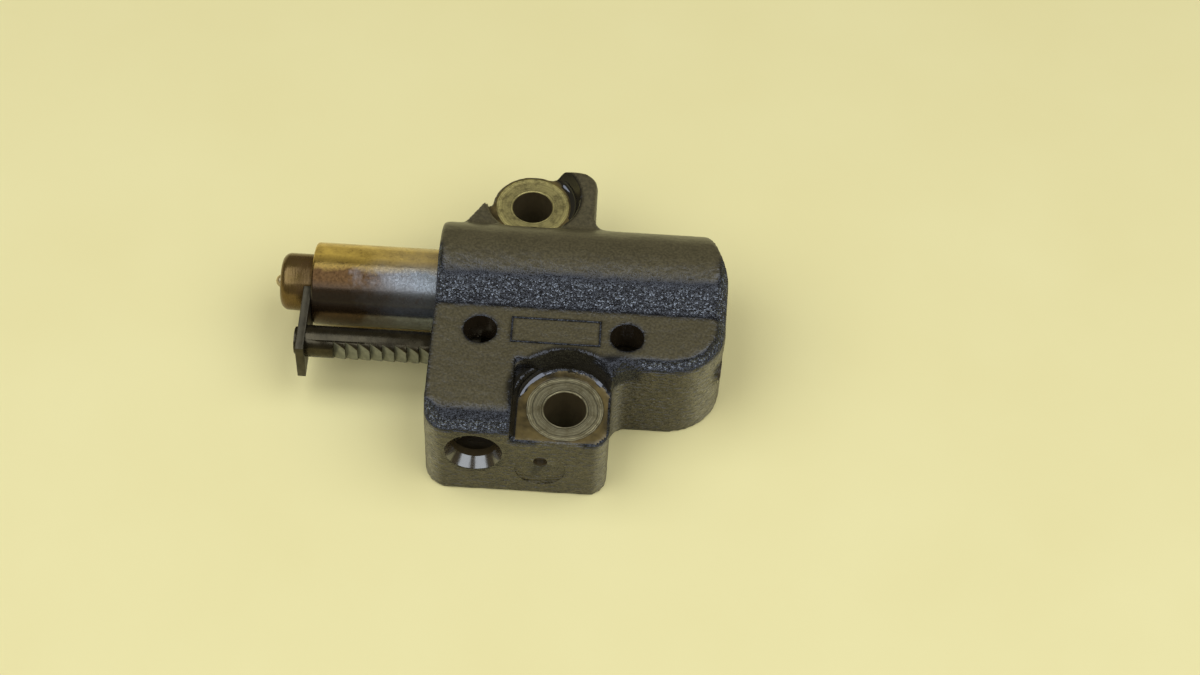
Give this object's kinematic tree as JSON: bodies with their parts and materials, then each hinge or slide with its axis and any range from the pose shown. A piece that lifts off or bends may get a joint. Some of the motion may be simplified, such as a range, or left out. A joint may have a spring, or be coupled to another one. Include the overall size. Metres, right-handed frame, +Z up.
{
  "type": "timing chain tensioner",
  "caption": "Hydraulic timing chain tensioner: cast iron body with bolt holes, a sprung steel plunger and a toothed ratchet rack beside it, joined by a link plate.",
  "frame": {"origin": "axis of the front bolt hole, on the mounting face", "axes": "+X along the plunger from its nose to the closed end, +Y back to the rear ear, +Z up from the mounting face along the bolts"},
  "size_m": [0.0731, 0.0538, 0.0213],
  "materials": {
    "cast_iron": "rough casting, dark olive brown with oil, machined bolt seats",
    "plunger_steel": "ground steel with golden oil varnish",
    "dark_steel": "hardened steel, dark and oily",
    "bright_steel": "plain steel",
    "spring_steel": "oiled spring wire"
  },
  "bodies": {
    "housing": {"housing": "cast_iron", "valve_seat": "bright_steel", "valve_cage": "bright_steel", "pawl_pin": "bright_steel", "plunger_spring": "spring_steel", "check_spring": "spring_steel", "pawl_spring": "spring_steel"},
    "plunger": {"plunger": "plunger_steel", "nose_cap": "dark_steel", "link_plate": "dark_steel", "ratchet_rack": "dark_steel"},
    "pawl": {"pawl": "dark_steel"},
    "check_ball": {"check_ball": "bright_steel"}
  },
  "joints": [
    {"name": "plunger_slide", "type": "slide", "parent": "housing", "child": "plunger", "axis": [1, 0, 0], "range_m": [0, 0.0195], "stiffness_N_per_m": 900, "springref_m": -0.03, "deforming": ["plunger_spring"]},
    {"name": "pawl_pivot", "type": "hinge", "parent": "housing", "child": "pawl", "pos_m": [-0.009, 0.0082, 0.01], "axis": [0, 0, 1], "range_deg": [-6, 5], "stiffness_Nm_per_rad": 0.01, "springref_deg": -17.19, "deforming": ["pawl_spring"]},
    {"name": "check_ball_lift", "type": "slide", "parent": "housing", "child": "check_ball", "axis": [-1, 0, 0], "range_m": [0, 0.0004], "stiffness_N_per_m": 60, "springref_m": -0.002, "deforming": ["check_spring"]}
  ]
}
